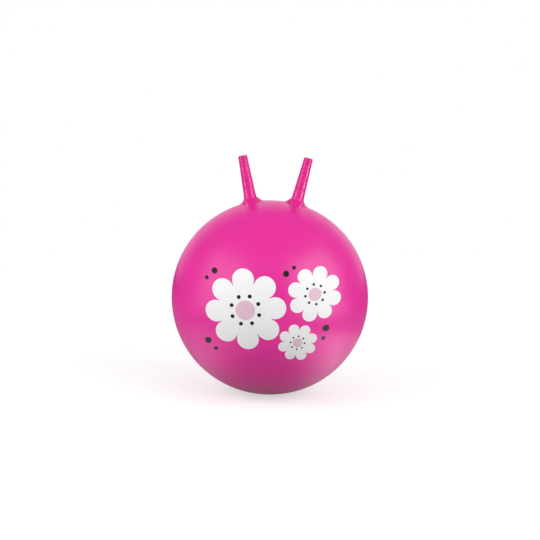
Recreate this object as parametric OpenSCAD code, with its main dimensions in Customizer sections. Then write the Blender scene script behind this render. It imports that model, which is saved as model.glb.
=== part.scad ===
// Hopper ball: an inflated ball to sit and bounce on, with two horn handles and a plug valve.
// Millimetres, +Z up. The origin is on the floor, under the middle of the ball, and the front faces -Y.

/* [Ball] */
// Width of the inflated ball
ball_w = 450; // [380:5:600]
// How much lower than wide the ball is
ball_sag = 6; // [2:1:14]
// Radius of the flat that the ball's weight presses on the floor
foot_r = 28; // [20:1:40]
// Wall of the stretched skin
skin_t = 1.2; // [0.8:0.1:2.4]

/* [Horns] */
// Lean of each horn from upright, in degrees
horn_tilt = 12.6; // [9:0.1:20]
// Length of a horn from the skin to its end
horn_len = 107.5; // [90:0.5:130]
// Diameter that the horn's taper reaches at the skin
horn_root_d = 28.8; // [26:0.1:34]
// Diameter of the horn's end
horn_tip_d = 20.2; // [17:0.1:24]
// Wall of a horn
horn_wall = 3; // [2:0.1:3.6]
// Thickness of the closed end of a horn
horn_end_t = 4; // [3:0.5:8]
// Rounding of the end's rim
horn_end_round = 3; // [1.5:0.5:4]
// Number of ribs around a grip
rib_count = 6; // [6:1:10]
// Depth of the flutes between the ribs
flute_depth = 1.2; // [0.4:0.1:1.2]
// Radius of a flute's hollow
flute_r = 10; // [6:0.5:14]
// Number of grooves that ring a horn
ring_count = 3; // [2:1:5]
// Number of those grooves that lie on the bending neck
neck_ring_count = 2; // [1:1:2]
// Radius of a ring groove
ring_r = 0.8; // [0.5:0.1:1.2]

/* [Horn roots] */
// Height of the root, where the flutes begin
root_h = 10; // [8:0.5:13]
// Radius of the flare between horn and ball
flare_r = 20; // [17:0.5:24]
// Height at which the flare leaves the horn
flare_h = 17; // [15.5:0.5:19]
// Radius of the root's foot on the skin
root_foot_r = 27; // [24:0.5:29]
// Width of a web beside the horn
web_root_w = 30; // [16:0.5:30]
// Width of a web at its far end
web_end_w = 11.5; // [5:0.5:12]
// How far a web's far end lies towards the middle of the ball
web_lean = 5.5; // [0:0.5:10]

/* [Valve] */
// Height of the valve above the ball's middle, as an angle
valve_rise = 15; // [5:1:30]
// Radius of the thick seat that fills the skin's hole
seat_r = 15; // [13:0.5:18]
// Radius of the flange bonded behind the skin
flange_r = 21; // [19:0.5:26]
// Thickness of that flange
flange_t = 1.8; // [1.2:0.1:3]
// Thickness of the seat under the skin's face
seat_t = 6; // [5:0.5:8]
// Length of the neck that runs into the ball
valve_neck_len = 22; // [19:0.5:28]
// Wall of that neck
valve_neck_wall = 3.5; // [2.5:0.1:5]
// Radius of the air bore
bore_r = 5; // [4:0.1:6]
// Radius of the plug's head
plug_head_r = 10; // [9:0.1:11.5]
// Thickness of the plug's head
plug_head_t = 2.4; // [1.8:0.1:3]
// Length of the plug's stem
plug_stem_len = 17; // [14:0.5:18.5]
// Depth of the neck between the stem's rings
plug_ring_depth = 0.6; // [0.3:0.1:1]
// Number of rings on the stem
plug_ring_count = 3; // [2:1:4]

/* [Print] */
// Thickness drawn for the ink
ink_t = 0.3; // [0.2:0.05:0.5]
// Number of petals on each flower
petal_count = 8; // [6:1:10]

/* [Hidden] */
$fn = 96;

pink = "#e8379b";
ball_facets = 240;
arc_steps = 14;
LEFT = -1;
RIGHT = 1;

// The skin's section is an arc of crown_r whose centre stands belt out from the axis, cut flat where it stands.
belt = ball_sag / 2;
crown_r = ball_w / 2 - belt;
centre_z = sqrt(pow(crown_r, 2) - pow(foot_r - belt, 2));

// Runs past a face, so that a cut leaves no film.
overrun = 0.5;
// Runs into the ball, whose shape then trims it.
sink = 4;

// Horns stand square to the skin.
horn_x = belt + crown_r * sin(horn_tilt);
horn_z = centre_z + crown_r * cos(horn_tilt);
horn_taper = atan((horn_root_d - horn_tip_d) / 2 / horn_len);
flare_c = [
    horn_r(flare_h) + flare_r * cos(horn_taper),
    flare_h + flare_r * sin(horn_taper)
];
flare_rim_z = flare_c[1] - sqrt(pow(flare_r, 2) - pow(flare_c[0] - root_foot_r, 2));
horn_open_r = wall_r(0, horn_wall);
ring_pitch = (horn_len - root_h) / (ring_count + 1);
neck_top = root_h + neck_ring_count * ring_pitch;
ring_proud = 0.3;
flute_end = 5;

// Along the webs the skin curves with this radius. Each web runs down from the root's top to where it
// would just graze the ball, a bite below the skin.
web_ball_r = crown_r + belt / sin(horn_tilt);
web_bite = 1;
web_start = wall_r(root_h, 0);
web_foot_r = web_ball_r - web_bite;
web_turn = atan(web_start / (web_ball_r + root_h))
    + acos(web_foot_r / norm([web_start, web_ball_r + root_h]));
web_reach = web_foot_r * sin(web_turn);
web_foot_z = web_foot_r * cos(web_turn) - web_ball_r;

// The plug's head lies in a recess of the seat, level with the skin.
recess_gap = 0.5;
plug_proud = 0.3;
recess_depth = plug_head_t - plug_proud;
stem_gap = 0.08;
stem_core_r = bore_r - stem_gap - plug_ring_depth;
stem_ring_h = 2;
stem_tip_h = 3;
head_round = 0.8;
nail_notch_w = 7;
nail_notch_reach = 2.2;

// Flowers and dots as seen from the front: [across, up from the ball's middle, radius], each a share of ball_w.
flower_shares = [[-0.112, 0.010, 0.192], [0.212, 0.092, 0.130], [0.140, -0.140, 0.094]];
flower_turns = [7, -13, 17];
dot_shares = [
    [0.072, 0.186, 0.014], [0.108, 0.214, 0.009], [0.272, -0.072, 0.017], [0.262, -0.122, 0.010],
    [-0.268, 0.178, 0.014], [-0.304, 0.142, 0.009], [-0.286, -0.160, 0.016], [-0.248, -0.196, 0.010]
];
eye_share = 0.24;
seed_ring_share = 0.355;
seed_share = 0.048;
petal_out_share = 0.73;
petal_r_share = 0.27;
petal_heart_share = 0.52;
ink_gap = 0.2;

// Radius of a horn's plain taper at height h.
function horn_r(h) = (horn_root_d + (horn_tip_d - horn_root_d) * h / horn_len) / 2;

// Radius of the horn at height h, flare included, on a face that lies deep inside the outer one.
function wall_r(h, deep) =
    h < flare_h
        ? flare_c[0] - sqrt(pow(flare_r + deep, 2) - pow(flare_c[1] - h, 2))
        : horn_r(h) - deep;

// Points up that face from h0 to h1, closest where the flare is shallow.
function wall_line(h0, h1, deep) =
    [for (i = [0:arc_steps]) let (h = h0 + (h1 - h0) * pow(i / arc_steps, 2)) [wall_r(h, deep), h]];

function arc(c, r, a0, a1) =
    [for (i = [0:arc_steps]) let (a = a0 + (a1 - a0) * i / arc_steps) c + r * [cos(a), sin(a)]];

// Half of the ball's section, drawn in from the skin's outer face by inset.
module ball_outline(inset = 0) {
    translate([0, inset])
        square([belt, centre_z + crown_r - 2 * inset]);
    intersection() {
        translate([belt, centre_z])
            circle(r = crown_r - inset, $fn = ball_facets);
        translate([belt, inset])
            square(ball_w);
    }
}

module ball_form(inset = 0) {
    rotate_extrude($fn = ball_facets)
        ball_outline(inset);
}

// A layer of the ball, from one inset to a deeper one.
module ball_layer(outer, inner) {
    rotate_extrude($fn = ball_facets)
        difference() {
            ball_outline(outer);
            ball_outline(inner);
        }
}

module at_horn(side) {
    translate([side * horn_x, 0, horn_z])
        rotate([0, side * horn_tilt, 0])
            children();
}

// The frame of the valve: its +Z is the outward normal of the skin.
module at_valve() {
    translate([0, belt + crown_r * cos(valve_rise), centre_z + crown_r * sin(valve_rise)])
        rotate([valve_rise - 90, 0, 0])
            children();
}

module ball_skin() {
    color(pink)
        difference() {
            ball_layer(0, skin_t);
            for (side = [LEFT, RIGHT])
                at_horn(side)
                    translate([0, 0, -sink - skin_t])
                        cylinder(r = horn_open_r, h = 2 * (sink + skin_t));
            at_valve()
                translate([0, 0, -sink - skin_t])
                    cylinder(r = seat_r, h = 2 * (sink + skin_t));
        }
}

// One gusset behind a horn: a ramp whose plan narrows away from it and leans towards the middle of the ball.
module web(side) {
    low_z = web_foot_z - sink;
    intersection() {
        translate([-web_root_w / 2, 0, 0])
            rotate([90, 0, 90])
                linear_extrude(web_root_w)
                    polygon([
                        [0, root_h], [web_start, root_h], [web_reach, web_foot_z],
                        [web_reach, low_z], [0, low_z]
                    ]);
        translate([0, 0, low_z - overrun])
            linear_extrude(root_h - low_z + 2 * overrun)
                polygon([
                    [-web_root_w / 2, 0], [web_root_w / 2, 0],
                    [web_end_w / 2 - side * web_lean, web_reach],
                    [-web_end_w / 2 - side * web_lean, web_reach]
                ]);
    }
}

// The flared foot of a horn, with a web in front and one behind.
module horn_root(side) {
    color(pink)
        difference() {
            at_horn(side)
                difference() {
                    union() {
                        rotate_extrude()
                            polygon(concat(
                                [[0, root_h], [0, -sink], [root_foot_r, -sink]],
                                wall_line(flare_rim_z, root_h, 0)
                            ));
                        web(side);
                        mirror([0, 1, 0])
                            web(side);
                    }
                    rotate_extrude()
                        polygon(concat(
                            [[0, root_h + overrun], [0, -sink - overrun], [horn_open_r, -sink - overrun]],
                            wall_line(0, root_h, horn_wall),
                            [[wall_r(root_h, horn_wall), root_h + overrun]]
                        ));
                }
            ball_form();
        }
}

// Cuts the hollows between the ribs, from the flare's top to near the end.
module flutes() {
    low = flare_h;
    high = horn_len - flute_end;
    run = (high - low) / cos(horn_taper);
    for (i = [0:rib_count - 1])
        rotate([0, 0, 90 + 360 * i / rib_count])
            translate([horn_r(low) + flute_r - flute_depth, 0, low])
                rotate([0, -horn_taper, 0]) {
                    cylinder(r = flute_r, h = run);
                    sphere(r = flute_r);
                    translate([0, 0, run])
                        sphere(r = flute_r);
                }
}

// Cuts the grooves that ring the horn.
module rings() {
    for (i = [1:ring_count])
        let (h = root_h + i * ring_pitch)
            rotate_extrude()
                translate([horn_r(h) + ring_proud, h])
                    circle(r = ring_r);
}

// The lower half of a horn, which bends.
module horn_neck(side) {
    color(pink)
        at_horn(side)
            difference() {
                rotate_extrude()
                    polygon(concat(
                        wall_line(root_h, flare_h, 0),
                        [[horn_r(neck_top), neck_top], [horn_r(neck_top) - horn_wall, neck_top]],
                        [for (i = [arc_steps:-1:0]) wall_line(root_h, flare_h, horn_wall)[i]]
                    ));
                flutes();
                rings();
            }
}

// The ribbed grip, closed at its end.
module horn_grip(side) {
    shoulder = horn_len - horn_end_round;
    cavity = horn_len - horn_end_t;
    color(pink)
        at_horn(side)
            difference() {
                rotate_extrude()
                    polygon(concat(
                        [[horn_r(neck_top) - horn_wall, neck_top], [horn_r(neck_top), neck_top]],
                        arc([horn_r(shoulder) - horn_end_round, shoulder], horn_end_round, 0, 90),
                        [[0, horn_len], [0, cavity], [horn_r(cavity) - horn_wall, cavity]]
                    ));
                flutes();
                rings();
            }
}

// The thick seat moulded into the back of the ball, with a fingernail notch beside the plug.
module valve_seat() {
    color("#f4a9cf")
        difference() {
            union() {
                intersection() {
                    ball_form();
                    at_valve()
                        translate([0, 0, -seat_t])
                            cylinder(r = seat_r, h = seat_t + sink);
                }
                intersection() {
                    ball_form(skin_t);
                    at_valve()
                        translate([0, 0, -skin_t - flange_t])
                            cylinder(r = flange_r, h = flange_t + skin_t);
                }
                at_valve()
                    translate([0, 0, -valve_neck_len])
                        cylinder(r = bore_r + valve_neck_wall, h = valve_neck_len - recess_depth);
            }
            at_valve() {
                translate([0, 0, -valve_neck_len - overrun])
                    cylinder(r = bore_r, h = valve_neck_len + 2 * overrun);
                translate([0, 0, -recess_depth])
                    cylinder(r = plug_head_r + recess_gap, h = recess_depth + overrun);
                translate([-nail_notch_w / 2, 0, -recess_depth])
                    cube([nail_notch_w, plug_head_r + nail_notch_reach, recess_depth + overrun]);
            }
        }
}

// The stopper: a flat head and a ringed stem.
module valve_plug() {
    ring_r_out = bore_r - stem_gap;
    ring_step = (plug_stem_len - stem_tip_h - stem_ring_h) / plug_ring_count;
    color("white")
        at_valve()
            translate([0, 0, -recess_depth]) {
                rotate_extrude()
                    polygon(concat(
                        [[0, plug_head_t], [0, 0], [plug_head_r, 0]],
                        arc([plug_head_r - head_round, plug_head_t - head_round], head_round, 0, 90)
                    ));
                translate([0, 0, -plug_stem_len])
                    cylinder(r1 = stem_core_r - plug_ring_depth, r2 = stem_core_r, h = stem_tip_h);
                translate([0, 0, stem_tip_h - plug_stem_len])
                    cylinder(r = stem_core_r, h = plug_stem_len - stem_tip_h);
                for (i = [0:plug_ring_count - 1])
                    translate([0, 0, stem_tip_h - plug_stem_len + i * ring_step])
                        cylinder(r1 = stem_core_r, r2 = ring_r_out, h = stem_ring_h);
            }
}

// Lays a flat outline, drawn as seen from the front, on the skin as ink.
module printed() {
    intersection() {
        translate([0, 0, centre_z])
            rotate([90, 0, 0])
                linear_extrude(ball_w)
                    children();
        ball_layer(-ink_t, 0);
    }
}

module each_flower() {
    for (i = [0:len(flower_shares) - 1])
        let (f = flower_shares[i], $flower_r = ball_w * f[2])
            translate(ball_w * [f[0], f[1]])
                rotate(flower_turns[i])
                    children();
}

module petals() {
    half_root = $flower_r * petal_r_share * petal_heart_share;
    for (i = [0:petal_count - 1])
        rotate(360 * i / petal_count) {
            translate([$flower_r * petal_out_share, 0])
                circle(r = $flower_r * petal_r_share);
            polygon([
                [0, -half_root], [$flower_r * petal_out_share, -$flower_r * petal_r_share],
                [$flower_r * petal_out_share, $flower_r * petal_r_share], [0, half_root]
            ]);
        }
}

module seeds(gap = 0) {
    for (i = [0:petal_count - 1])
        rotate(360 * (i + 0.5) / petal_count)
            translate([$flower_r * seed_ring_share, 0])
                circle(r = $flower_r * seed_share + gap);
}

module white_print() {
    color("white")
        printed()
            each_flower()
                difference() {
                    union() {
                        petals();
                        circle(r = $flower_r * petal_heart_share);
                    }
                    circle(r = $flower_r * eye_share + ink_gap);
                    seeds(ink_gap);
                }
}

module pink_print() {
    color("#e8c0d2")
        printed()
            each_flower()
                circle(r = $flower_r * eye_share);
}

module black_print() {
    color("#1b1b1d")
        printed() {
            each_flower()
                seeds();
            for (d = dot_shares)
                translate(ball_w * [d[0], d[1]])
                    circle(r = ball_w * d[2]);
        }
}

ball_skin();
horn_root(LEFT);  // left_horn_root
horn_neck(LEFT);  // left_horn_neck
horn_grip(LEFT);  // left_horn_grip
horn_root(RIGHT);  // right_horn_root
horn_neck(RIGHT);  // right_horn_neck
horn_grip(RIGHT);  // right_horn_grip
valve_seat();
valve_plug();
white_print();
pink_print();
black_print();
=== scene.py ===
import math

import bpy
import numpy as np
from mathutils import Matrix, Vector


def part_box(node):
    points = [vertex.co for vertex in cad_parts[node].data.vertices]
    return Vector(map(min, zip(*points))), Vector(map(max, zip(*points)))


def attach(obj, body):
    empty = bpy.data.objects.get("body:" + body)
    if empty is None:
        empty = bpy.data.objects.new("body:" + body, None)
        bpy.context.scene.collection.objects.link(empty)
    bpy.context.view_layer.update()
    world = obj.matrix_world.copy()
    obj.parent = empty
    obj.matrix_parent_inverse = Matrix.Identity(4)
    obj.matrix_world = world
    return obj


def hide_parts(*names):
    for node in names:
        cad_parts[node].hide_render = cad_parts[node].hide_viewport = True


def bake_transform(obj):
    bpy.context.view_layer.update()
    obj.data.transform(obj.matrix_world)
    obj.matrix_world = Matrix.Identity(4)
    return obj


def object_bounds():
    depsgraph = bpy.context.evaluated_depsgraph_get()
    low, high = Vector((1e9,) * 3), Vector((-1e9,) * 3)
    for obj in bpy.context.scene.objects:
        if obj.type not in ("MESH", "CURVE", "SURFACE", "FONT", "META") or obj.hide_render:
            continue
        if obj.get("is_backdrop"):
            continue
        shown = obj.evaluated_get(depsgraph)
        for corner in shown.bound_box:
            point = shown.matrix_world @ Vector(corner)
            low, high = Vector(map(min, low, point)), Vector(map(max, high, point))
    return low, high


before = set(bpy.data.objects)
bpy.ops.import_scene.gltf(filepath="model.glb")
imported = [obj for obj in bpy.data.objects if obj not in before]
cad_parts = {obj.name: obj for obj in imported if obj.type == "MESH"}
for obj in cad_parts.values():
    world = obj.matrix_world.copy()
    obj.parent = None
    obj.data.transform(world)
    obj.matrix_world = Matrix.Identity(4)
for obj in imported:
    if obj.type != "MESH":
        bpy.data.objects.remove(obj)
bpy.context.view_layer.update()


# The ball moulding: the skin with the foot of each horn.
# It is soft PVC, cast in a turning mould in one piece and blown up, so skin, flares and webs run
# into each other with no joint. Its own weight presses a small flat where it stands.
MM = 0.001
SIDES = (-1, 1)
_, skin_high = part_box("ball_skin")
BELT = 3 * MM
crown_r = skin_high.y - BELT
centre_z = skin_high.z - crown_r
SKIN_T = 1.2 * MM
FACE_DIVISIONS = 56

HORN_TILT = math.radians(12.6)
HORN_LEN = 107.5 * MM
HORN_ROOT_R = 14.4 * MM
HORN_TIP_R = 10.1 * MM
ROOT_H = 10 * MM
FLARE_R = 20 * MM
FLARE_H = 17 * MM
WEB_ROOT_HALF = 15 * MM
WEB_END_HALF = 5.75 * MM
WEB_LEAN = 5.5 * MM
WEB_DROP = 0.3 * MM
WEB_START = 6 * MM
WEB_BEVEL = 0.5 * MM
WEB_SINK = 0.7 * MM
WEB_DRAFT = 0.8 * MM
WEB_T = 0.4 * MM
WEB_STEPS = 40
# A web's grid: how far each column of a border has turned down, and where its flat columns lie.
WEB_BORDER_TURNS = [80, 80, 54, 27]
WEB_TOP_SHARES = [-1, -0.5, 0, 0.5, 1]
WEB_COLUMNS = 2 * len(WEB_BORDER_TURNS) + len(WEB_TOP_SHARES) - 1
FILLET = 1.2 * MM
WELD = 0.1 * MM
horn_taper = math.atan((HORN_ROOT_R - HORN_TIP_R) / HORN_LEN)


def horn_r(height):
    """The horn's plain taper."""
    return HORN_ROOT_R + (HORN_TIP_R - HORN_ROOT_R) * height / HORN_LEN


flare_x = horn_r(FLARE_H) + FLARE_R * math.cos(horn_taper)
flare_z = FLARE_H + FLARE_R * math.sin(horn_taper)
hole_r = flare_x - math.sqrt(FLARE_R**2 - (flare_z - ROOT_H) ** 2)

# A web's ramp runs from the root's top down to where it would just graze the ball.
web_ball_r = crown_r + BELT / math.sin(HORN_TILT)
web_top = ROOT_H - WEB_DROP
web_turn = math.atan2(hole_r, web_ball_r + web_top)
web_turn += math.acos(web_ball_r / math.hypot(hole_r, web_ball_r + web_top))
web_reach = web_ball_r * math.sin(web_turn)
web_fall = -math.tan(web_turn)


def stand(lean, foot):
    """The place of a piece on the skin: its origin at foot, its +Z leaning from upright."""
    return Matrix.Translation(foot) @ lean


def horn_place(side):
    """A horn stands square to the skin, to one side of the ball's top."""
    out = Vector((side * math.sin(HORN_TILT), 0, math.cos(HORN_TILT)))
    foot = Vector((side * BELT, 0, centre_z)) + crown_r * out
    return stand(Matrix.Rotation(side * HORN_TILT, 4, "Y"), foot)


VALVE_RISE = math.radians(15)
SEAT_R = 15 * MM


def valve_place():
    """The valve lies at the back, a little above the ball's middle."""
    out = Vector((0, math.cos(VALVE_RISE), math.sin(VALVE_RISE)))
    foot = Vector((0, BELT, centre_z)) + crown_r * out
    return stand(Matrix.Rotation(VALVE_RISE - math.pi / 2, 4, "X"), foot)


def seen_from(co, place):
    """The vertices' places in the axes of one piece."""
    turned = np.array(place.inverted())
    return co @ turned[:3, :3].T + turned[:3, 3]


def reshape(piece, rule):
    """Moves a mesh's vertices by a rule on the array of their places."""
    co = np.empty(len(piece.data.vertices) * 3)
    piece.data.vertices.foreach_get("co", co)
    piece.data.vertices.foreach_set("co", rule(co.reshape(-1, 3)).ravel())
    piece.data.update()


def apply_modifier(piece, kind, **settings):
    """Adds a modifier to the active piece, sets it and applies it."""
    modifier = piece.modifiers.new(kind, kind)
    for name, value in settings.items():
        setattr(modifier, name, value)
    bpy.ops.object.modifier_apply(modifier=modifier.name)


def select_faces(piece, chosen):
    """Selects the faces whose middles a rule chooses, and opens the mesh for editing."""
    bpy.ops.object.mode_set(mode="EDIT")
    bpy.ops.mesh.select_mode(type="FACE")
    bpy.ops.mesh.select_all(action="DESELECT")
    bpy.ops.object.mode_set(mode="OBJECT")
    middles = np.empty(len(piece.data.polygons) * 3)
    piece.data.polygons.foreach_get("center", middles)
    piece.data.polygons.foreach_set("select", chosen(middles.reshape(-1, 3)))
    bpy.ops.object.mode_set(mode="EDIT")


def near(places, reach):
    """A rule that chooses what lies in a box of that reach round the origin of any place."""
    def chosen(middles):
        found = np.zeros(len(middles), bool)
        for place in places:
            found |= np.abs(seen_from(middles, place)).max(axis=1) < reach
        return found
    return chosen


def soft_max(a, b, reach):
    """The larger of two heights, rounded where they cross."""
    return np.maximum(a, b) + np.maximum(reach - np.abs(a - b), 0) ** 2 / (4 * reach)


def blown_up(co, proud=0):
    """Puts each vertex on the ball's outer face, in the direction in which it lies."""
    out = co - (0, 0, centre_z)
    out /= np.linalg.norm(out, axis=1)[:, None]
    level = np.maximum(np.linalg.norm(out[:, :2], axis=1), 1e-9)[:, None]
    co = out * (crown_r + proud) + (0, 0, centre_z)
    co[:, :2] += BELT * out[:, :2] / level
    co[:, 2] = np.maximum(co[:, 2], 0)
    return co


def with_flares(co):
    """Raises the skin around both horns into their flares."""
    for place in horns:
        close = near([place], 2 * FLARE_R)(co)
        spot = seen_from(co[close], place)
        out = np.hypot(spot[:, 0], spot[:, 1])
        flare = flare_z - np.sqrt(FLARE_R**2 - np.clip(flare_x - out, 0, FLARE_R) ** 2)
        flare = np.where(out < flare_x, flare, spot[:, 2] - FLARE_R)
        rise = np.minimum(soft_max(spot[:, 2], flare, FILLET), ROOT_H) - spot[:, 2]
        co[close] += rise[:, None] * np.array(place.to_3x3().col[2])
    return co


def folded(place, side, way):
    """A rule that folds a grid into a web: a ramp whose round borders turn down into the skin."""
    border_columns = len(WEB_BORDER_TURNS)
    turns = WEB_BORDER_TURNS + len(WEB_TOP_SHARES) * [0] + WEB_BORDER_TURNS[::-1]
    turns = np.radians(turns)
    across = np.array(border_columns * [-1] + WEB_TOP_SHARES + border_columns * [1])

    def rule(co):
        column = np.rint((co[:, 0] + 1) / 2 * (len(across) - 1)).astype(int)
        along = WEB_START + (web_reach - WEB_START) * (co[:, 1] + 1) / 2
        share = along / web_reach
        half = WEB_ROOT_HALF + (WEB_END_HALF - WEB_ROOT_HALF) * share - WEB_BEVEL
        shift = across[column] * (half + WEB_BEVEL * np.sin(turns[column]))
        shift -= way * side * WEB_LEAN * share
        top = np.minimum(web_top + web_fall * (along - hole_r), web_top)
        top -= WEB_BEVEL * (1 - np.cos(turns[column]))
        border = (column == 0) | (column == len(across) - 1)
        shift += np.where(border, across[column] * WEB_DRAFT, 0)
        spot = np.column_stack((way * shift, way * along, top))
        out = spot @ np.array(place.to_3x3()).T + np.array(place.translation)
        buried = border | (co[:, 1] > 1 - 1 / WEB_STEPS)
        out[buried] = blown_up(out[buried], -WEB_SINK)
        return out
    return rule


def open_hole(piece, place, radius, rim):
    """Cuts a round hole: the faces inside it go, and the ragged edge is drawn in to a circle."""
    def inside(middles):
        spot = seen_from(middles, place)
        return (np.hypot(spot[:, 0], spot[:, 1]) < radius) & (np.abs(spot[:, 2]) < radius)

    select_faces(piece, inside)
    bpy.ops.mesh.delete(type="FACE")
    bpy.ops.mesh.select_mode(type="VERT")
    bpy.ops.mesh.select_all(action="DESELECT")
    bpy.ops.mesh.select_non_manifold(
        use_wire=False, use_multi_face=False, use_non_contiguous=False,
    )
    bpy.ops.object.mode_set(mode="OBJECT")
    edge = np.empty(len(piece.data.vertices), bool)
    piece.data.vertices.foreach_get("select", edge)

    def rounded(co):
        spot = seen_from(co, place)
        chosen = edge & (np.linalg.norm(spot, axis=1) < 2 * radius)
        drawn = spot[chosen]
        drawn[:, :2] *= radius / np.hypot(drawn[:, 0], drawn[:, 1])[:, None]
        drawn[:, 2] = rim
        co[chosen] = drawn @ np.array(place.to_3x3()).T + np.array(place.translation)
        return co

    reshape(piece, rounded)
    bpy.ops.object.mode_set(mode="EDIT")
    bpy.ops.mesh.select_all(action="SELECT")
    bpy.ops.mesh.remove_doubles(threshold=WELD)
    bpy.ops.object.mode_set(mode="OBJECT")


def deselect():
    """An operator acts on all that is selected, so each new piece starts from nothing."""
    bpy.ops.object.select_all(action="DESELECT")


ROOT_ZONE = 38 * MM
RIM_ZONE = 22 * MM
VALVE_ZONE = 24 * MM
SKIN_CREASE = math.radians(40)
horns = [horn_place(side) for side in SIDES]
valve = valve_place()

deselect()
bpy.ops.mesh.primitive_cube_add(size=2 * crown_r, location=(0, 0, centre_z))
ball = bpy.context.object
ball.name = "ball_moulding"
bpy.ops.object.mode_set(mode="EDIT")
bpy.ops.mesh.subdivide(number_cuts=FACE_DIVISIONS - 1)
bpy.ops.object.mode_set(mode="OBJECT")
apply_modifier(ball, "CAST", cast_type="SPHERE", factor=1, size=crown_r)
bpy.ops.object.transform_apply(location=True)
# Each pass halves the faces near a horn or the valve, down to what their edges need.
root_zone, valve_zone = near(horns, ROOT_ZONE), near([valve], VALVE_ZONE)
for zone in (root_zone, valve_zone, root_zone, valve_zone, near(horns, RIM_ZONE), valve_zone):
    select_faces(ball, zone)
    bpy.ops.mesh.subdivide(number_cuts=1)
bpy.ops.object.mode_set(mode="OBJECT")
reshape(ball, blown_up)
reshape(ball, with_flares)
for place in horns:
    open_hole(ball, place, hole_r, ROOT_H)
open_hole(ball, valve, SEAT_R, -(SEAT_R**2) / (2 * crown_r))
apply_modifier(ball, "SOLIDIFY", thickness=SKIN_T, offset=-1)


def linear(code):
    """A colour written as sRGB hex, in the linear values that the shaders take."""
    levels = [int(code[i : i + 2], 16) / 255 for i in (1, 3, 5)]
    levels = [v / 12.92 if v < 0.04045 else ((v + 0.055) / 1.055) ** 2.4 for v in levels]
    return (*levels, 1)


def add_node(tree, kind, settings=(), **inputs):
    """Adds one node, sets it, and fills its sockets with values or with other nodes' outputs."""
    node = tree.nodes.new(kind)
    for name, value in dict(settings).items():
        setattr(node, name, value)
    for name, value in inputs.items():
        key = int(name[1:]) if name[1:].isdigit() else name.replace("_", " ")
        socket = node.inputs[key]
        if isinstance(value, bpy.types.NodeSocket):
            tree.links.new(value, socket)
        else:
            socket.default_value = value
    return node


def new_material(name):
    """An empty material and the places on the piece that its patterns read."""
    material = bpy.data.materials.new(name)
    material.use_nodes = True
    tree = material.node_tree
    tree.nodes.clear()
    return material, tree, add_node(tree, "ShaderNodeTexCoord").outputs["Object"]


# A noise seldom leaves these values.
NOISE_LOW, NOISE_HIGH = 0.3, 0.7


def cast_vinyl(name, deep, light, dull=0.36):
    """Soft PVC cast in a mould: one colour all through, a satin face, and a faint orange peel.

    The mould's halves meet in the plane of the horns and leave a fine raised seam there.
    """
    CLOUD = 70 * MM
    PEEL = 2.6 * MM
    GRIT = 0.8 * MM
    GRIT_SHARE = 0.35
    PEEL_DEPTH = 0.006 * MM
    SEAM_HALF = 0.5 * MM
    SEAM_RISE = 3
    DULL_SPREAD = 0.04
    VINYL_IOR = 1.53
    material, tree, place = new_material(name)
    cloud = add_node(tree, "ShaderNodeTexNoise", Vector=place, Scale=1 / CLOUD, Detail=3)
    peel = add_node(tree, "ShaderNodeTexNoise", Vector=place, Scale=1 / PEEL, Detail=2)
    grit = add_node(tree, "ShaderNodeTexNoise", Vector=place, Scale=1 / GRIT, Detail=1)
    colour = add_node(
        tree, "ShaderNodeMix", {"data_type": "RGBA"},
        _0=cloud.outputs["Fac"], _6=linear(deep), _7=linear(light),
    )
    rough = add_node(
        tree, "ShaderNodeMapRange",
        Value=cloud.outputs["Fac"], From_Min=NOISE_LOW, From_Max=NOISE_HIGH,
        To_Min=dull - DULL_SPREAD, To_Max=dull + DULL_SPREAD,
    )
    axes = add_node(tree, "ShaderNodeSeparateXYZ", Vector=place)
    off_seam = add_node(tree, "ShaderNodeMath", {"operation": "ABSOLUTE"}, _0=axes.outputs["Y"])
    seam = add_node(
        tree, "ShaderNodeMapRange", {"interpolation_type": "SMOOTHSTEP"},
        Value=off_seam.outputs[0], From_Min=0, From_Max=SEAM_HALF, To_Min=1, To_Max=0,
    )
    texture = add_node(
        tree, "ShaderNodeMath", {"operation": "MULTIPLY_ADD"},
        _0=grit.outputs["Fac"], _1=GRIT_SHARE, _2=peel.outputs["Fac"],
    )
    relief = add_node(
        tree, "ShaderNodeMath", {"operation": "MULTIPLY_ADD"},
        _0=seam.outputs[0], _1=SEAM_RISE, _2=texture.outputs[0],
    )
    bump = add_node(tree, "ShaderNodeBump", Height=relief.outputs[0], Distance=PEEL_DEPTH)
    shader = add_node(
        tree, "ShaderNodeBsdfPrincipled", Base_Color=colour.outputs[2],
        Roughness=rough.outputs[0], IOR=VINYL_IOR, Normal=bump.outputs[0],
    )
    add_node(tree, "ShaderNodeOutputMaterial", Surface=shader.outputs[0])
    return material


# One vinyl runs through the moulding. The horns and webs take a darker, a little glossier copy of
# it.
# On the webs the darker colour is painted shade, as their ramps face forward and take less light
# from above.
ball_vinyl = cast_vinyl("cast_pink_vinyl", "#e9279a", "#ec2c9f")
deep_pink_and_web_shade_vinyl = cast_vinyl("deep_pink_vinyl_and_web_shade", "#e22390", "#e62893", 0.28)
ball.data.materials.append(ball_vinyl)
webs = []
for side, place in zip(SIDES, horns):
    for way in (-1, 1):
        deselect()
        bpy.ops.mesh.primitive_grid_add(
            x_subdivisions=WEB_COLUMNS, y_subdivisions=WEB_STEPS, size=2,
        )
        web = bpy.context.object
        reshape(web, folded(place, side, way))
        apply_modifier(web, "SOLIDIFY", thickness=WEB_T, offset=-1)
        # The webs take the darker vinyl as painted shade.
        web.data.materials.append(deep_pink_and_web_shade_vinyl)
        webs.append(web)
deselect()
for piece in (*webs, ball):
    piece.select_set(True)
bpy.context.view_layer.objects.active = ball
bpy.ops.object.join()
bpy.ops.object.shade_smooth_by_angle(angle=SKIN_CREASE)
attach(ball, "ball")
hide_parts("ball_skin", "left_horn_root", "right_horn_root")
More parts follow.
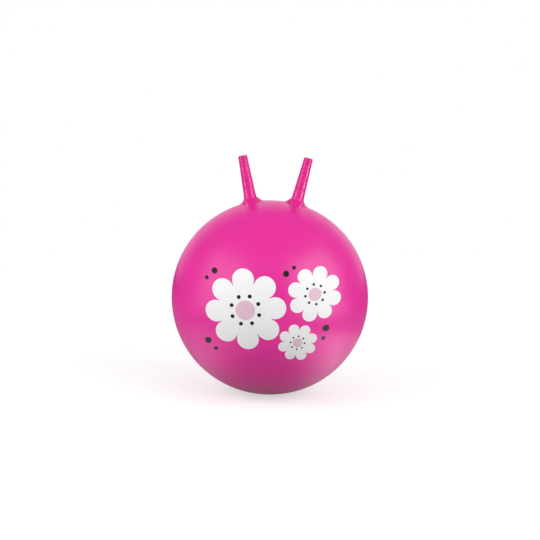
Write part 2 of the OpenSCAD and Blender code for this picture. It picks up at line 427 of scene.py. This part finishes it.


# The horns: a hollow tapering handle on each side, cast with the ball.
# The short lower part and the longer upper part, above the webs, are separate pieces.
# They meet in a ring's groove. Shallow flutes leave ribs between them, and rings cross the ribs.
HORN_WALL = 3 * MM
END_ROUND = 3 * MM
RIB_COUNT = 6
FLUTE_DEPTH = 1.2 * MM
FLUTE_R = 10 * MM
FLUTE_FADE = 5 * MM
FLUTE_END = 5 * MM
FLUTE_EASE = 0.25 * MM
RING_COUNT = 3
RING_DEPTH = 0.7 * MM
ROOT_RING_DEPTH = 0.3 * MM
RING_HALF = 1 * MM
RING_EASE = 0.1 * MM
RING_STEPS = (-1, -0.6, -0.3, 0, 0.3, 0.6, 1)
LAP = 0.8 * MM
LAP_GAP = 0.2 * MM
HORN_STEP = 2.4 * MM
HORN_SEGMENTS = 128
END_ARC_STEPS = 6
END_FLAT_SHARES = (0.75, 0.5, 0.25, 0.05)
HORN_CREASE = math.radians(50)
ring_pitch = (HORN_LEN - ROOT_H) / (RING_COUNT + 1)
ring_heights = [ROOT_H + i * ring_pitch for i in range(RING_COUNT + 1)]


def flared_r(height):
    """The horn's plain radius, with the flare at its root."""
    if height >= FLARE_H:
        return horn_r(height)
    return flare_x - math.sqrt(FLARE_R**2 - (flare_z - height) ** 2)


def steps_between(low, high):
    """Heights from low to high, evenly spaced, and closer where a ring crosses."""
    count = math.ceil((high - low) / HORN_STEP)
    heights = {round(low + (high - low) * i / count, 7) for i in range(count + 1)}
    for ring in ring_heights:
        close = [ring + RING_HALF * share for share in RING_STEPS]
        heights = {h for h in heights if abs(h - ring) > RING_HALF or h in (low, high)}
        heights |= {round(h, 7) for h in close if low < h < high}
    return sorted(heights)


def ring_groove(height):
    """How deep the rings cut at a height. The one at the root is shallower."""
    depths = [ROOT_RING_DEPTH] + RING_COUNT * [RING_DEPTH]
    cuts = zip(depths, ring_heights)
    return sum(depth * max(0, 1 - ((height - ring) / RING_HALF) ** 2) for depth, ring in cuts)


def smooth_step(share):
    """Eases from none to all as the share goes from 0 to 1."""
    share = np.clip(share, 0, 1)
    return share**2 * (3 - 2 * share)


def fluted(co):
    """Draws the surface in along each flute, fading out towards the root and the end."""
    turn = np.arctan2(co[:, 1], co[:, 0])
    out, height = np.hypot(co[:, 0], co[:, 1]), co[:, 2]
    pitch = 2 * math.pi / RIB_COUNT
    off = np.abs((turn + math.pi / 2 + pitch / 2) % pitch - pitch / 2) * out
    half = math.sqrt(2 * FLUTE_DEPTH / (1 / FLUTE_R + 1 / HORN_ROOT_R))
    depth = soft_max(FLUTE_DEPTH * (1 - (off / half) ** 2), 0 * off, FLUTE_EASE)
    fade = smooth_step((height - FLARE_H + FLUTE_FADE) / FLUTE_FADE)
    fade *= smooth_step((HORN_LEN - FLUTE_END / 2 - height) / FLUTE_FADE)
    rings = np.array([ring_groove(h) for h in height])
    cut = soft_max(depth * fade, rings, RING_EASE)
    cut = np.where(out > END_ROUND, cut, 0)
    co = co.copy()
    co[:, :2] *= ((out - cut) / np.maximum(out, 1e-9))[:, None]
    return co


def extrude_rings(name, segments, stations):
    """A turned form: one ring, extruded and resized from each (radius, height) to the next."""
    deselect()
    radius, height = stations[0]
    bpy.ops.mesh.primitive_circle_add(vertices=segments, radius=radius)
    piece = bpy.context.object
    piece.name = name
    bpy.ops.object.mode_set(mode="EDIT")
    bpy.ops.mesh.select_all(action="SELECT")
    bpy.ops.transform.translate(value=(0, 0, height))
    for next_radius, next_height in stations[1:]:
        bpy.ops.mesh.extrude_edges_indiv()
        bpy.ops.transform.translate(value=(0, 0, next_height - height))
        share = next_radius / radius
        bpy.ops.transform.resize(value=(share, share, 1), center_override=(0, 0, next_height))
        radius, height = next_radius, next_height
    bpy.ops.object.mode_set(mode="OBJECT")
    return piece


def close_last_ring():
    """Draws the ring that was extruded last together into a pole."""
    bpy.ops.object.mode_set(mode="EDIT")
    bpy.ops.mesh.merge(type="CENTER")
    bpy.ops.object.mode_set(mode="OBJECT")


def face_outwards():
    """Turns every face of an open or closed shell the same way, outwards."""
    bpy.ops.object.mode_set(mode="EDIT")
    bpy.ops.mesh.select_all(action="SELECT")
    bpy.ops.mesh.normals_make_consistent(inside=False)
    bpy.ops.object.mode_set(mode="OBJECT")


def put(piece, place):
    """Moves a finished mesh to its place, and leaves the object itself at the origin."""
    piece.matrix_world = place
    bpy.ops.object.transform_apply(location=True, rotation=True, scale=True)


lower_steps = steps_between(ROOT_H, ring_heights[1])
lower_line = [(flared_r(ROOT_H - LAP) - LAP_GAP, ROOT_H - LAP)]
lower_line += [(flared_r(h), h) for h in lower_steps]
shoulder = HORN_LEN - END_ROUND
upper_line = [(horn_r(h), h) for h in steps_between(ring_heights[1], shoulder)]
for i in range(1, END_ARC_STEPS + 1):
    turn = math.pi / 2 * i / END_ARC_STEPS
    flat_r = horn_r(shoulder) - END_ROUND
    upper_line.append((flat_r + END_ROUND * math.cos(turn), shoulder + END_ROUND * math.sin(turn)))
upper_line += [(flat_r * share, HORN_LEN) for share in END_FLAT_SHARES]

for word, place in zip(("left", "right"), horns):
    for half, line, bodies, low, high, node in (
        ("lower", lower_line, ("ball", f"{word}_neck"), *ring_heights[:2], "neck"),
        ("upper", upper_line, (f"{word}_neck", f"{word}_horn"), *ring_heights[1:3], "grip"),
    ):
        handle = extrude_rings(f"{word}_horn_{half}", HORN_SEGMENTS, line)
        if half == "upper":
            close_last_ring()
        face_outwards()
        reshape(handle, fluted)
        apply_modifier(handle, "SOLIDIFY", thickness=HORN_WALL, offset=-1)
        put(handle, place)
        bpy.ops.object.shade_smooth_by_angle(angle=HORN_CREASE)
        handle.data.materials.append(deep_pink_and_web_shade_vinyl)
        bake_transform(handle)
        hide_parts(f"{word}_horn_{node}")


# The valve seat: a thick plug of the same vinyl in a paler mix, moulded into the back of the ball.
# It fills the skin's hole, and its recess takes the stopper's head level with the skin.
SKIN_LAP = 0.9 * MM
RECESS_R = 10.5 * MM
RECESS_DEPTH = 2.1 * MM
BORE_R = 5 * MM
NECK_R = 8.5 * MM
NECK_LEN = 22 * MM
FLANGE_R = 21 * MM
FLANGE_T = 1.8 * MM
SEAT_EDGE = 0.6 * MM
SEAT_GAP = 0.05 * MM
SEAT_PROUD = 0.05 * MM
FINE_EDGE = 0.3 * MM
FIRST_DROP = 0.1 * MM
SEAT_SIDE = 0.5 * MM
LIP_SHARE = 0.3
NOTCH_HALF = 3 * MM
NOTCH_EDGE = 0.7 * MM
NOTCH_REACH = 1.7 * MM
SEAT_SEGMENTS = 96
SEAM_WELD = 0.01 * MM


def notched(co):
    """Draws the recess's wall outwards over a short stretch, for a fingernail."""
    radius = np.hypot(co[:, 0], co[:, 1])
    narrow = np.clip((NOTCH_HALF + NOTCH_EDGE - np.abs(co[:, 0])) / NOTCH_EDGE, 0, 1)
    rim = SEAT_R - 2 * SEAT_EDGE
    fade = np.clip((rim - radius) / (rim - RECESS_R), 0, 1)
    wall = (radius > RECESS_R - NOTCH_EDGE) & (co[:, 1] > 0)
    wall &= co[:, 2] > -RECESS_DEPTH - SEAT_EDGE / 2
    co[:, 1] += np.where(wall, NOTCH_REACH * narrow * fade, 0)
    return co


def skin_drop(radius):
    """How far the ball falls away at a radius from the valve's axis."""
    return radius**2 / (2 * crown_r)


def seat_line():
    """The seat's outline, from the flange under the skin over the face into the bore and back."""
    at_flange, at_edge, at_recess = (skin_drop(r) for r in (FLANGE_R, SEAT_R, RECESS_R))
    under = -SKIN_T - at_flange
    at_shoulder = skin_drop(SEAT_R - 2 * SEAT_EDGE)
    return [
        (FLANGE_R, under),
        (SEAT_R + SKIN_LAP, -SKIN_T - at_edge),
        (SEAT_R - SEAT_GAP, -SKIN_T - at_edge),
        (SEAT_R - SEAT_GAP, -SEAT_SIDE - at_edge),
        (SEAT_R - FINE_EDGE, -FIRST_DROP - at_edge),
        (SEAT_R - SEAT_EDGE, SEAT_PROUD - at_edge),
        (SEAT_R - 2 * SEAT_EDGE, SEAT_PROUD - at_shoulder),
        (RECESS_R + 2 * SEAT_EDGE, SEAT_PROUD - at_recess),
        (RECESS_R + SEAT_EDGE, -at_recess),
        (RECESS_R + LIP_SHARE * SEAT_EDGE, -FIRST_DROP - at_recess),
        (RECESS_R, -SEAT_EDGE - at_recess),
        (RECESS_R, -RECESS_DEPTH + FINE_EDGE),
        (RECESS_R - FINE_EDGE, -RECESS_DEPTH),
        (BORE_R + SEAT_EDGE, -RECESS_DEPTH),
        (BORE_R, -RECESS_DEPTH - SEAT_EDGE),
        (BORE_R, -NECK_LEN),
        (NECK_R, -NECK_LEN),
        (NECK_R, under - FLANGE_T),
        (FLANGE_R, under - FLANGE_T),
    ]


seat = extrude_rings("valve_insert", SEAT_SEGMENTS, seat_line() + seat_line()[:1])
bpy.ops.object.mode_set(mode="EDIT")
bpy.ops.mesh.select_all(action="SELECT")
bpy.ops.mesh.remove_doubles(threshold=SEAM_WELD)
bpy.ops.object.mode_set(mode="OBJECT")
face_outwards()
reshape(seat, notched)
put(seat, valve)
bpy.ops.object.shade_smooth_by_angle(angle=SKIN_CREASE)
seat.data.materials.append(cast_vinyl("cast_pale_pink_vinyl", "#f0a3cb", "#f4b0d2"))
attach(seat, "ball")
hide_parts("valve_seat")


# The valve stopper: a flat head on a ringed stem, moulded in a firmer white plastic.
# The rings grip the seat's bore, and a fingernail under the head pulls it out.
HEAD_R = 10 * MM
HEAD_T = 2.4 * MM
HEAD_ROUND = 0.8 * MM
STEM_LEN = 17 * MM
STEM_R = 4.3 * MM
STEM_RING_R = 4.9 * MM
STEM_RING_H = 2 * MM
STEM_TIP_H = 3 * MM
STEM_TIP_R = 3.1 * MM
STEM_RINGS = 3
STEM_RING_BACK = 1.02
TIP_FLAT_SHARES = (0.05, 0.5)
HEAD_BEVEL = 0.3 * MM
HEAD_DISH = 0.35 * MM
HEAD_RIM_SHARE = 0.72
HEAD_DISH_SHARES = (0.66, 0.3, 0.03)
HEAD_ARC_STEPS = 4


def stopper_line():
    """The stopper's outline, from the stem's tip over its rings to the dished face of the head."""
    line = [(share * STEM_R, -STEM_LEN) for share in TIP_FLAT_SHARES]
    line.append((STEM_TIP_R, -STEM_LEN))
    pitch = (STEM_LEN - STEM_TIP_H - STEM_RING_H) / STEM_RINGS
    for i in range(STEM_RINGS):
        foot = STEM_TIP_H - STEM_LEN + i * pitch
        line += [(STEM_R, foot), (STEM_RING_R, foot + STEM_RING_H)]
        line.append((STEM_R, foot + STEM_RING_BACK * STEM_RING_H))
    line += [(STEM_R, 0), (HEAD_R - HEAD_BEVEL, 0), (HEAD_R, HEAD_BEVEL)]
    for i in range(HEAD_ARC_STEPS + 1):
        turn = math.pi / 2 * i / HEAD_ARC_STEPS
        out = HEAD_R - HEAD_ROUND + HEAD_ROUND * math.cos(turn)
        line.append((out, HEAD_T - HEAD_ROUND + HEAD_ROUND * math.sin(turn)))
    line.append((HEAD_RIM_SHARE * HEAD_R, HEAD_T))
    return line + [(share * HEAD_R, HEAD_T - HEAD_DISH) for share in HEAD_DISH_SHARES]


def moulded_plastic(name, deep, light):
    """Injection-moulded polythene: waxy, a little cloudy, with fine scratches from handling."""
    CLOUD = 6 * MM
    SCRATCH = 0.5 * MM
    SCRATCH_DEPTH = 0.01 * MM
    SMOOTH, WORN = 0.3, 0.42
    POLYTHENE_IOR = 1.51
    material, tree, place = new_material(name)
    cloud = add_node(tree, "ShaderNodeTexNoise", Vector=place, Scale=1 / CLOUD, Detail=3)
    scratch = add_node(
        tree, "ShaderNodeTexNoise", Vector=place, Scale=1 / SCRATCH, Detail=4, Roughness=0.6,
    )
    colour = add_node(
        tree, "ShaderNodeMix", {"data_type": "RGBA"},
        _0=cloud.outputs["Fac"], _6=linear(deep), _7=linear(light),
    )
    rough = add_node(
        tree, "ShaderNodeMapRange",
        Value=scratch.outputs["Fac"], From_Min=NOISE_LOW, From_Max=NOISE_HIGH,
        To_Min=SMOOTH, To_Max=WORN,
    )
    bump = add_node(
        tree, "ShaderNodeBump", Height=scratch.outputs["Fac"], Distance=SCRATCH_DEPTH,
    )
    shader = add_node(
        tree, "ShaderNodeBsdfPrincipled", Base_Color=colour.outputs[2],
        Roughness=rough.outputs[0], IOR=POLYTHENE_IOR, Normal=bump.outputs[0],
    )
    add_node(tree, "ShaderNodeOutputMaterial", Surface=shader.outputs[0])
    return material


stopper = extrude_rings("valve_stopper", SEAT_SEGMENTS, stopper_line())
close_last_ring()
bpy.ops.object.mode_set(mode="EDIT")
bpy.ops.mesh.select_all(action="DESELECT")
bpy.ops.mesh.select_non_manifold()
bpy.ops.mesh.merge(type="CENTER")
bpy.ops.object.mode_set(mode="OBJECT")
face_outwards()
put(stopper, valve @ Matrix.Translation((0, 0, -RECESS_DEPTH)))
bpy.ops.object.shade_smooth_by_angle(angle=SKIN_CREASE)
stopper.data.materials.append(moulded_plastic("white_polythene", "#e4e4df", "#f0f0ec"))
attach(stopper, "plug")
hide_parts("valve_plug")


# The white ink: three daisies, screen-printed on the skin before the other two colours.
# The ink is a thin flexible film that stretches with the ball and keeps a crisp edge.
# Places and radii in the print are shares of the ball's width: across, up and radius.
ball_w = 2 * skin_high.y
DAISY_SHARES = [(-0.112, 0.010, 0.192), (0.212, 0.092, 0.130), (0.140, -0.140, 0.094)]
DAISY_TURNS = [math.radians(turn) for turn in (7, -13, 17)]
PETAL_COUNT = 8
PETAL_OUT_SHARE = 0.73
PETAL_R_SHARE = 0.27
PETAL_HEART_SHARE = 0.52
INK_SEGMENTS = 192
INK_SINK = 0.1 * MM
WHITE_T = 0.15 * MM
PINK_T = 0.22 * MM
BLACK_T = 0.28 * MM


def daisy_edge(turn):
    """The daisy's outline as a share of its radius, by the turn from the middle of a petal."""
    pitch = 2 * math.pi / PETAL_COUNT
    off = abs((turn + pitch / 2) % pitch - pitch / 2)
    half_root = PETAL_R_SHARE * PETAL_HEART_SHARE
    spread = (PETAL_R_SHARE - half_root) / PETAL_OUT_SHARE
    straight = PETAL_OUT_SHARE / math.cos(off)
    if math.sin(off) > spread * math.cos(off):
        straight = min(straight, half_root / (math.sin(off) - spread * math.cos(off)))
    reach = PETAL_R_SHARE**2 - (PETAL_OUT_SHARE * math.sin(off)) ** 2
    curved = PETAL_OUT_SHARE * math.cos(off) + math.sqrt(reach) if reach > 0 else 0
    return max(PETAL_HEART_SHARE, straight, curved)


def on_skin(co):
    """Lays a flat drawing, seen from the front, on the front of the ball."""
    up = co[:, 1]
    ring = BELT + np.sqrt(crown_r**2 - up**2)
    return np.column_stack((co[:, 0], -np.sqrt(ring**2 - co[:, 0] ** 2), centre_z + up))


def ink_patch(name, radius, shares, edge=None):
    """A disc of rings, whose outline can follow a rule on the turn around it."""
    segments = INK_SEGMENTS if edge else INK_SEGMENTS // 4
    patch = extrude_rings(name, segments, [(radius * share, 0) for share in shares])
    close_last_ring()
    if edge:
        def outlined(co):
            turn = np.arctan2(co[:, 1], co[:, 0])
            return co * np.array([edge(t) for t in turn])[:, None]
        reshape(patch, outlined)
    return patch


def set_down(patch, across, up, turn):
    """Places a flat patch in the print's drawing."""
    put(patch, Matrix.Translation((across, up, 0)) @ Matrix.Rotation(turn, 4, "Z"))


def print_together(patches, name, thickness):
    """Joins the patches of one ink, lays them on the skin and gives them the film's thickness."""
    deselect()
    for patch in patches:
        patch.select_set(True)
    bpy.context.view_layer.objects.active = patches[0]
    bpy.ops.object.join()
    film = bpy.context.object
    film.name = name
    face_outwards()
    reshape(film, on_skin)
    toward = sum(face.normal.y * face.area for face in film.data.polygons)
    if toward > 0:
        bpy.ops.object.mode_set(mode="EDIT")
        bpy.ops.mesh.select_all(action="SELECT")
        bpy.ops.mesh.flip_normals()
        bpy.ops.object.mode_set(mode="OBJECT")
    total = thickness + INK_SINK
    apply_modifier(film, "SOLIDIFY", thickness=total, offset=1 - 2 * INK_SINK / total)
    bpy.ops.object.shade_smooth_by_angle(angle=SKIN_CREASE)
    return film


def screen_ink(name, deep, light):
    """Flexible screen ink: an even film with a soft sheen and the faint mottle of its screen."""
    MOTTLE = 9 * MM
    MESH = 0.7 * MM
    MESH_DEPTH = 0.01 * MM
    SMOOTH, DRY = 0.4, 0.5
    INK_IOR = 1.4
    material, tree, place = new_material(name)
    mottle = add_node(
        tree, "ShaderNodeTexNoise", Vector=place, Scale=1 / MOTTLE, Detail=4, Roughness=0.6,
    )
    mesh = add_node(tree, "ShaderNodeTexNoise", Vector=place, Scale=1 / MESH, Detail=1)
    colour = add_node(
        tree, "ShaderNodeMix", {"data_type": "RGBA"},
        _0=mottle.outputs["Fac"], _6=linear(deep), _7=linear(light),
    )
    rough = add_node(
        tree, "ShaderNodeMapRange",
        Value=mottle.outputs["Fac"], From_Min=NOISE_LOW, From_Max=NOISE_HIGH,
        To_Min=SMOOTH, To_Max=DRY,
    )
    bump = add_node(tree, "ShaderNodeBump", Height=mesh.outputs["Fac"], Distance=MESH_DEPTH)
    shader = add_node(
        tree, "ShaderNodeBsdfPrincipled", Base_Color=colour.outputs[2],
        Roughness=rough.outputs[0], IOR=INK_IOR, Normal=bump.outputs[0],
    )
    add_node(tree, "ShaderNodeOutputMaterial", Surface=shader.outputs[0])
    return material


DISC_SHARES = [1 - i / 8 for i in range(8)] + [0.02]
DAISY_STEPS = 20
daisies = []
for (across, up, radius), turn in zip(DAISY_SHARES, DAISY_TURNS):
    shares = [1 - i / DAISY_STEPS for i in range(DAISY_STEPS)] + [0.01]
    daisy = ink_patch("daisy", ball_w * radius, shares, daisy_edge)
    set_down(daisy, ball_w * across, ball_w * up, turn)
    daisies.append(daisy)
white = print_together(daisies, "white_ink", WHITE_T)
white.data.materials.append(screen_ink("white_screen_ink", "#f2f2f2", "#fafafa"))
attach(white, "ball")
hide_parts("white_print")


# The pale pink ink: the eye of each daisy.
# It is printed over the white, in register with it, so it stands a little prouder.
EYE_SHARE = 0.24
eyes = []
for (across, up, radius), turn in zip(DAISY_SHARES, DAISY_TURNS):
    eye = ink_patch("eye", ball_w * radius * EYE_SHARE, DISC_SHARES)
    set_down(eye, ball_w * across, ball_w * up, turn)
    eyes.append(eye)
pink = print_together(eyes, "pale_pink_ink", PINK_T)
pink.data.materials.append(screen_ink("pale_pink_screen_ink", "#e2bacc", "#e9c6d6"))
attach(pink, "ball")
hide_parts("pink_print")


# The black ink: a ring of seeds round each eye and loose dots beside the daisies.
# It is printed last, over the white and on the bare vinyl.
SEED_RING_SHARE = 0.355
SEED_SHARE = 0.048
DOT_SHARES = [
    (0.072, 0.186, 0.014), (0.108, 0.214, 0.009),
    (0.272, -0.072, 0.017), (0.262, -0.122, 0.010),
    (-0.268, 0.178, 0.014), (-0.304, 0.142, 0.009),
    (-0.286, -0.160, 0.016), (-0.248, -0.196, 0.010),
]
dots = []
for (across, up, radius), turn in zip(DAISY_SHARES, DAISY_TURNS):
    for i in range(PETAL_COUNT):
        seed_turn = turn + 2 * math.pi * (i + 0.5) / PETAL_COUNT
        seed = ink_patch("seed", ball_w * radius * SEED_SHARE, DISC_SHARES)
        reach = ball_w * radius * SEED_RING_SHARE
        across_seed = ball_w * across + reach * math.cos(seed_turn)
        set_down(seed, across_seed, ball_w * up + reach * math.sin(seed_turn), 0)
        dots.append(seed)
for across, up, radius in DOT_SHARES:
    dot = ink_patch("dot", ball_w * radius, DISC_SHARES)
    set_down(dot, ball_w * across, ball_w * up, 0)
    dots.append(dot)
black = print_together(dots, "black_ink", BLACK_T)
black.data.materials.append(screen_ink("black_screen_ink", "#0c0c0e", "#141417"))
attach(black, "ball")
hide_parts("black_print")


# The floor: a plain pale sheet, which takes the ball's shadow and fades into the white background.
# Only reflections see it glow, as a bright ring round the ball and a pool of light far out on each
# side: painted reflections, which give the skin its soft haze and the horns their bright stripes.
FLOOR_SIZE = 30
FLOOR_GLOW = 0.55
SPECKLE = 25 * MM
FADE_START, FADE_END = 0.7, 2.2
RING_GLOW = 2.7
RING_SHADE = 0.15
RING_OPEN, RING_FULL = 0.05, 0.3
RING_EDGE, RING_END = 0.5, 0.56
RING_FRONT, RING_BACK = -0.15, 0.1
RING_BACK_SHARE = 0.2
RING_SIDES = 0.4
RING_LEFT_SHARE, RING_RIGHT_SHARE = 0.35, 1.1
POOL_ACROSS = 2.6
POOL_FORWARD = 1.5
POOL_R = 2.4
POOL_GLOWS = (5, 10.5)

deselect()
bpy.ops.mesh.primitive_plane_add(size=FLOOR_SIZE, location=(0, 0, 0))
floor = bpy.context.object
floor.name = "floor"
material, tree, place = new_material("pale_floor")
rays = add_node(tree, "ShaderNodeLightPath")
axes = add_node(tree, "ShaderNodeSeparateXYZ", Vector=place)
off = add_node(tree, "ShaderNodeVectorMath", {"operation": "LENGTH"}, _0=place)

# The paint looks paler to the camera than the light it throws up at the ball.
speckle = add_node(tree, "ShaderNodeTexNoise", Vector=place, Scale=1 / SPECKLE, Detail=2)
tone = add_node(
    tree, "ShaderNodeMix", {"data_type": "RGBA"},
    _0=speckle.outputs["Fac"], _6=linear("#c2c2c1"), _7=linear("#c8c8c7"),
)
shade = add_node(
    tree, "ShaderNodeMix", {"data_type": "RGBA"},
    _0=rays.outputs["Is Camera Ray"], _6=linear("#989897"), _7=tone.outputs[2],
)
paint = add_node(tree, "ShaderNodeBsdfDiffuse", Color=shade.outputs[2])
glow = add_node(
    tree, "ShaderNodeMath", {"operation": "MULTIPLY"},
    _0=rays.outputs["Is Camera Ray"], _1=FLOOR_GLOW,
)
lift = add_node(tree, "ShaderNodeEmission", Strength=glow.outputs[0])
near_look = add_node(tree, "ShaderNodeAddShader", _0=paint.outputs[0], _1=lift.outputs[0])
far_look = add_node(tree, "ShaderNodeEmission", Strength=rays.outputs["Is Camera Ray"])
fade = add_node(
    tree, "ShaderNodeMapRange", {"interpolation_type": "SMOOTHSTEP"},
    Value=off.outputs["Value"], From_Min=FADE_START, From_Max=FADE_END,
)
look = add_node(
    tree, "ShaderNodeMixShader",
    _0=fade.outputs[0], _1=near_look.outputs[0], _2=far_look.outputs[0],
)

# The painted ring is dim under the ball, which is painted shade, dim in front of it and behind it,
# and brighter on the right.
aside = add_node(tree, "ShaderNodeMath", {"operation": "ABSOLUTE"}, _0=axes.outputs["X"])
ring = add_node(
    tree, "ShaderNodeMapRange", {"interpolation_type": "SMOOTHSTEP"},
    Value=off.outputs["Value"], From_Min=RING_EDGE, From_Max=RING_END, To_Min=RING_GLOW, To_Max=0,
)
beside = add_node(
    tree, "ShaderNodeMapRange", {"interpolation_type": "SMOOTHSTEP"},
    Value=aside.outputs[0], From_Min=RING_OPEN, From_Max=RING_FULL, To_Min=RING_SHADE, To_Max=1,
)
ahead = add_node(
    tree, "ShaderNodeMapRange", {"interpolation_type": "SMOOTHSTEP"},
    Value=axes.outputs["Y"], From_Min=RING_FRONT, From_Max=RING_BACK,
    To_Min=1, To_Max=RING_BACK_SHARE,
)
rightward = add_node(
    tree, "ShaderNodeMapRange",
    Value=axes.outputs["X"], From_Min=-RING_SIDES, From_Max=RING_SIDES,
    To_Min=RING_LEFT_SHARE, To_Max=RING_RIGHT_SHARE,
)
for share in (beside, ahead, rightward):
    ring = add_node(
        tree, "ShaderNodeMath", {"operation": "MULTIPLY"}, _0=ring.outputs[0], _1=share.outputs[0],
    )
painted_reflection_glow = ring
for side, brightest in zip(SIDES, POOL_GLOWS):
    out_of_pool = add_node(
        tree, "ShaderNodeVectorMath", {"operation": "DISTANCE"},
        _0=place, _1=(side * POOL_ACROSS, -POOL_FORWARD, 0),
    )
    pool = add_node(
        tree, "ShaderNodeMapRange", {"interpolation_type": "SMOOTHSTEP"},
        Value=out_of_pool.outputs["Value"], From_Min=0, From_Max=POOL_R,
        To_Min=brightest, To_Max=0,
    )
    painted_reflection_glow = add_node(
        tree, "ShaderNodeMath", {"operation": "ADD"},
        _0=painted_reflection_glow.outputs[0], _1=pool.outputs[0],
    )
# Only glossy rays see this glow, so it is a painted reflection and lights nothing.
painted_reflection_glow = add_node(
    tree, "ShaderNodeMath", {"operation": "MULTIPLY"},
    _0=rays.outputs["Is Glossy Ray"], _1=painted_reflection_glow.outputs[0],
)
mirrored = add_node(tree, "ShaderNodeEmission", Strength=painted_reflection_glow.outputs[0])
look = add_node(tree, "ShaderNodeAddShader", _0=look.outputs[0], _1=mirrored.outputs[0])
add_node(tree, "ShaderNodeOutputMaterial", Surface=look.outputs[0])
floor.data.materials.append(material)
floor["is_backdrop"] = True


# The light: a plain studio, with a large soft box in front on each side and a weak one behind.
# The left box is two lamps, because the vinyl mirrors only part of its light.
def soft_box(name, azimuth, elevation, distance, width, height, glow, mirrored=True):
    """An evenly glowing rectangle that faces the ball from a turn round it and a height."""
    turn, rise = math.radians(azimuth), math.radians(elevation)
    level = math.cos(rise)
    way = Vector((math.sin(turn) * level, -math.cos(turn) * level, math.sin(rise)))
    lamp = bpy.data.lights.new(name, "AREA")
    lamp.shape = "RECTANGLE"
    lamp.size = width
    lamp.size_y = height
    lamp.energy = glow * math.pi * width * height
    box = bpy.data.objects.new(name, lamp)
    box.location = Vector((0, 0, centre_z)) + distance * way
    box.rotation_euler = way.to_track_quat("Z", "Y").to_euler()
    box.visible_glossy = mirrored
    bpy.context.scene.collection.objects.link(box)


soft_box("left_box", -60, 20, 2.6, 2.4, 2.2, 1.25)
soft_box("left_fill", -60, 20, 2.7, 2.4, 2.2, 1.7, mirrored=False)
soft_box("right_box", 60, 24, 2.6, 2.8, 2.4, 2.45)
soft_box("back_fill", 180, 10, 2.6, 2.6, 2.2, 0.9, mirrored=False)


# The background: a white sheet all round, of which the ball takes a little less light.
# Reflections see it white behind the ball, and dim on the camera's side, where a studio is dark.
AMBIENT = 0.47
DIM_SIDE = 0.03
DIM_EDGE, WHITE_EDGE = 0.5, 1

world = bpy.data.worlds.new("studio")
world.use_nodes = True
bpy.context.scene.world = world
tree = world.node_tree
tree.nodes.clear()
way = add_node(tree, "ShaderNodeTexCoord")
axes = add_node(tree, "ShaderNodeSeparateXYZ", Vector=way.outputs["Generated"])
backdrop = add_node(
    tree, "ShaderNodeMapRange", {"interpolation_type": "SMOOTHSTEP"},
    Value=axes.outputs["Y"], From_Min=DIM_EDGE, From_Max=WHITE_EDGE, To_Min=DIM_SIDE, To_Max=1,
)
rays = add_node(tree, "ShaderNodeLightPath")
mirrored = add_node(
    tree, "ShaderNodeMix", {"data_type": "FLOAT"},
    _0=rays.outputs["Is Glossy Ray"], _2=AMBIENT, _3=backdrop.outputs[0],
)
direct = add_node(
    tree, "ShaderNodeMath", {"operation": "MAXIMUM"},
    _0=rays.outputs["Is Camera Ray"], _1=rays.outputs["Is Transmission Ray"],
)
strength = add_node(
    tree, "ShaderNodeMix", {"data_type": "FLOAT"},
    _0=direct.outputs[0], _2=mirrored.outputs[0], _3=1,
)
sky = add_node(
    tree, "ShaderNodeBackground", Color=linear("#ffffff"), Strength=strength.outputs[0],
)
add_node(tree, "ShaderNodeOutputWorld", Surface=sky.outputs[0])


# The camera: at the photograph's height and distance, rolled as the photograph is.
# The lens makes the ball as wide as it is there, and the aim puts its middle in the same place.
PHOTO_PX = 540
BALL_HALF_PX = 98.2
BALL_CENTRE_PX = (269.85, 296.8)
CAMERA_DISTANCE = 2.6
CAMERA_RISE = math.radians(9)
CAMERA_ROLL = math.radians(2.35)
SENSOR = 36
ball_half = skin_high.y
focal_px = BALL_HALF_PX * math.sqrt(CAMERA_DISTANCE**2 - ball_half**2) / ball_half
camera_data = bpy.data.cameras.new("camera")
camera_data.sensor_width = SENSOR
camera_data.lens = focal_px * SENSOR / PHOTO_PX
camera = bpy.data.objects.new("camera", camera_data)
bpy.context.scene.collection.objects.link(camera)
ball_middle = Vector((0, 0, skin_high.z / 2))
back = Vector((0, -math.cos(CAMERA_RISE), math.sin(CAMERA_RISE)))
aim = back.to_track_quat("Z", "Y").to_matrix()
aim = aim @ Matrix.Rotation(CAMERA_ROLL, 3, "Z")
pitch = math.atan((BALL_CENTRE_PX[1] - PHOTO_PX / 2) / focal_px)
yaw = math.atan((BALL_CENTRE_PX[0] - PHOTO_PX / 2) / focal_px)
aim = aim @ Matrix.Rotation(pitch, 3, "X") @ Matrix.Rotation(yaw, 3, "Y")
camera.matrix_world = Matrix.Translation(ball_middle + CAMERA_DISTANCE * back) @ aim.to_4x4()
bpy.context.scene.camera = camera
bpy.context.scene.view_settings.view_transform = "Standard"

low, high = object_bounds()
